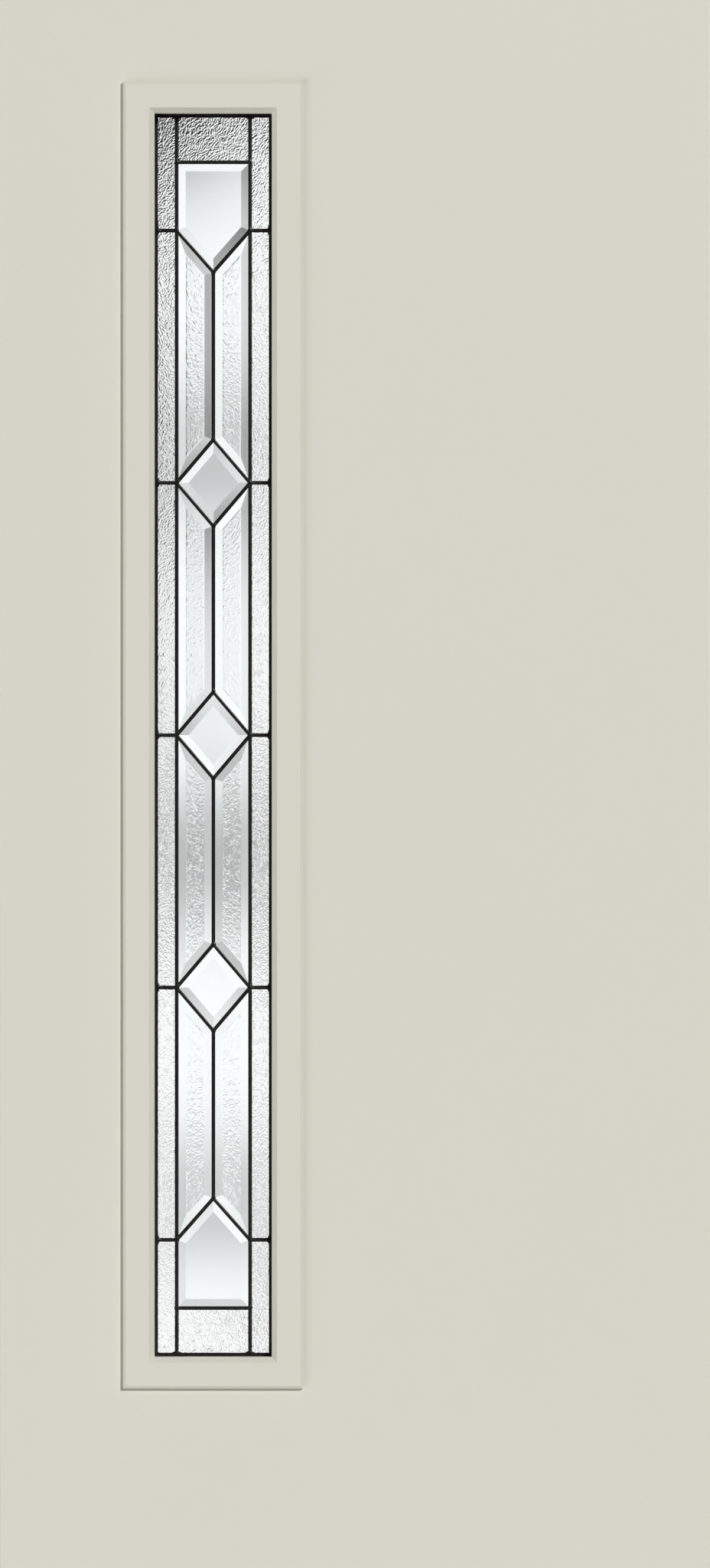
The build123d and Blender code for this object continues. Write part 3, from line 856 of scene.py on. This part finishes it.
# What stands beyond the glass: a bright opening with dim shapes, far out of focus. Each is its middle from
# the middle of the lite, half its size and the softness of its edge in metres, and how much light it takes.
OPENING = ((-0.02, -0.06), (0.33, 1.06), 0.10, 0.92)
DIM_SHAPES = [
    ((-0.60, 0.60), (0.28, 0.26), 0.13, 0.94),
    ((-0.58, 0.12), (0.24, 0.20), 0.13, 0.40),
    ((-0.40, 1.10), (0.26, 0.13), 0.16, 0.95),
    ((-0.11, 1.06), (0.08, 0.06), 0.12, 0.76),
    ((-0.05, 0.42), (0.11, 0.02), 0.095, 0.42),
    ((-0.05, 0.12), (0.02, 0.12), 0.07, 0.12),
    ((-0.01, -0.17), (0.26, 0.02), 0.08, 0.32),
    ((-0.02, -0.17), (0.05, 0.04), 0.08, 0.36),
    ((0.25, -0.23), (0.07, 0.05), 0.085, 0.26),
    ((-0.02, -0.665), (0.16, 0.02), 0.08, 0.38),
    ((0.37, -0.93), (0.10, 0.08), 0.13, 0.58),
]
GLOW_LEVEL = 1.23
GLOW_DISTANCE = 1.5
GLOW_HALF_WIDTH = 0.9
GLOW_HALF_HEIGHT = 1.5
GLOW_STEP = 0.025
FLAG_DISTANCE = 3.0
FLAG_HALF = 3.0


def closeness(x, z, shape):
    """exp(-(d / s)^2) of the distance d outside a rectangle, with s its softness."""
    (middle_x, middle_z), (half_x, half_z), soft, _ = shape
    beside = np.maximum(np.abs(x - middle_x) - half_x, 0)
    above = np.maximum(np.abs(z - middle_z) - half_z, 0)
    return np.exp(-(np.hypot(beside, above) / soft) ** 2)


def glow_steps(half):
    """Places of a glow card's grid lines along one axis, from one edge to the other."""
    return np.linspace(-half, half, round(2 * half / GLOW_STEP) + 1)


def glow_card(name, y):
    """Card beyond the glass on one side of the leaf. At each point of its grid the glow is 1 less what the
    surround of the opening takes, times 1 less what each dim shape takes there."""
    x, z = np.meshgrid(glow_steps(GLOW_HALF_WIDTH), glow_steps(GLOW_HALF_HEIGHT))
    glow = 1 - OPENING[3] * (1 - closeness(x, z, OPENING))
    for shape in DIM_SHAPES:
        glow = glow * (1 - shape[3] * closeness(x, z, shape))
    material, tree, _ = new_material("lit backdrop, out of focus")
    share = add(tree, "Attribute", attribute_name="glow")
    light = add(tree, "Math", {0: share.outputs["Fac"], 1: GLOW_LEVEL}, operation="MULTIPLY")
    shade = add(tree, "Emission", {"Color": linear("#FAFCFC"), "Strength": light.outputs[0]})
    add(tree, "OutputMaterial", {"Surface": shade.outputs[0]})
    points = np.stack([lite_x + x, np.full_like(x, y), lite_z + z], axis=-1).reshape(-1, 3)
    index = np.arange(x.size).reshape(x.shape)
    cells = np.stack([index[:-1, :-1], index[:-1, 1:], index[1:, 1:], index[1:, :-1]], axis=-1)
    card = stage_card(name, points.tolist(), cells.reshape(-1, 4).tolist(), material)
    card.data.attributes.new("glow", "FLOAT", "POINT").data.foreach_set("value", glow.ravel())
    only_seen_by(card, "transmission")


def dark_flag(name, y):
    """Black cloth before one face of the leaf, which keeps the panes clear of the lit floor's reflection."""
    material, tree, at = new_material("black flock")
    nap = add(tree, "TexNoise", {"Vector": at, "Scale": per_metre(30)})
    colour = add(
        tree,
        "Mix",
        {0: nap.outputs[0], 6: linear("#050505"), 7: linear("#0C0C0C")},
        data_type="RGBA",
    )
    cloth = add(tree, "BsdfDiffuse", {"Color": colour.outputs[2]})
    add(tree, "OutputMaterial", {"Surface": cloth.outputs[0]})
    corners = [(lite_x + a * FLAG_HALF, y, lite_z + b * FLAG_HALF) for a, b in SQUARE]
    only_seen_by(stage_card(name, corners, [(0, 1, 2, 3)], material), "glossy")


for place, side in (("inside", 1), ("outside", -1)):
    glow_card(f"glow_{place}", side * GLOW_DISTANCE)
    dark_flag(f"flag_{place}", side * FLAG_DISTANCE)

AMBIENT = 0.03


def studio_world():
    """World that is white to the eye, through glass and in reflections, and lights the leaf at a low even
    level."""
    world = bpy.data.worlds.new("studio")
    bpy.context.scene.world = world
    world.use_nodes = True
    sky = world.node_tree
    sky.nodes.clear()
    rays = add(sky, "LightPath")
    through = add(
        sky,
        "Math",
        {0: rays.outputs["Is Camera Ray"], 1: rays.outputs["Is Transmission Ray"]},
        operation="MAXIMUM",
    )
    seen = add(sky, "Math", {0: through.outputs[0], 1: rays.outputs["Is Glossy Ray"]}, operation="MAXIMUM")
    level = add(sky, "MapRange", {"Value": seen.outputs[0], "To Min": AMBIENT, "To Max": 1.0})
    light = add(sky, "Background", {"Color": linear("#FFFFFF"), "Strength": level.outputs[0]})
    add(sky, "OutputWorld", {"Surface": light.outputs[0]})


studio_world()

# Each lamp is how far it stands to the right and up for each metre in front, seen from its side of the
# leaf, its share of the plain level and its softness in degrees
LAMPS = {"key": (0.52, 0.50, 0.67, 3), "fill": (-1.15, -0.90, 0.22, 60)}
LAMP_DISTANCE = 8.0


def studio_sun(name, front, right, up, share, softness):
    """Distant lamp that lights a face across Y at a share of the plain level, and that isn't seen through
    glass. A soft lamp is a wide disc, of which a face gets only the share cos^2 of half its angle, so its
    energy is divided by that."""
    towards = np.array([-front * right, front, up])
    towards = towards / np.linalg.norm(towards)
    lamp = bpy.data.lights.new(name, "SUN")
    lamp.angle = math.radians(softness)
    lamp.energy = share * math.pi / (abs(towards[1]) * math.cos(lamp.angle / 2) ** 2)
    holder = bpy.data.objects.new(name, lamp)
    holder.rotation_mode = "QUATERNION"
    holder.rotation_quaternion = mathutils.Vector(towards).to_track_quat("Z", "Y")
    holder.location = towards * LAMP_DISTANCE
    holder.visible_transmission = False
    bpy.context.scene.collection.objects.link(holder)


for place, front in (("front", -1), ("rear", 1)):
    for name, lamp in LAMPS.items():
        studio_sun(f"{name}_{place}", front, *lamp)

# The photograph is filled by the leaf's width
PICTURE_WIDTH, PICTURE_HEIGHT = 928, 2048
LENS = 200.0


def photograph_camera():
    """Camera straight before the middle of the leaf. The sensor's width lies along the picture's height,
    because that is the longer side, so the camera stands back by the height that it sees times the lens over
    the sensor's width."""
    camera_data = bpy.data.cameras.new("camera")
    camera_data.lens = LENS
    seen_height = (leaf_high.x - leaf_low.x) * PICTURE_HEIGHT / PICTURE_WIDTH
    camera = bpy.data.objects.new("camera", camera_data)
    camera.location = (
        (leaf_low.x + leaf_high.x) / 2,
        leaf_low.y - seen_height * LENS / camera_data.sensor_width,
        (leaf_low.z + leaf_high.z) / 2,
    )
    camera.rotation_euler = (math.pi / 2, 0, 0)
    bpy.context.scene.collection.objects.link(camera)
    return camera


bpy.context.scene.camera = photograph_camera()
bpy.context.scene.view_settings.view_transform = "Standard"
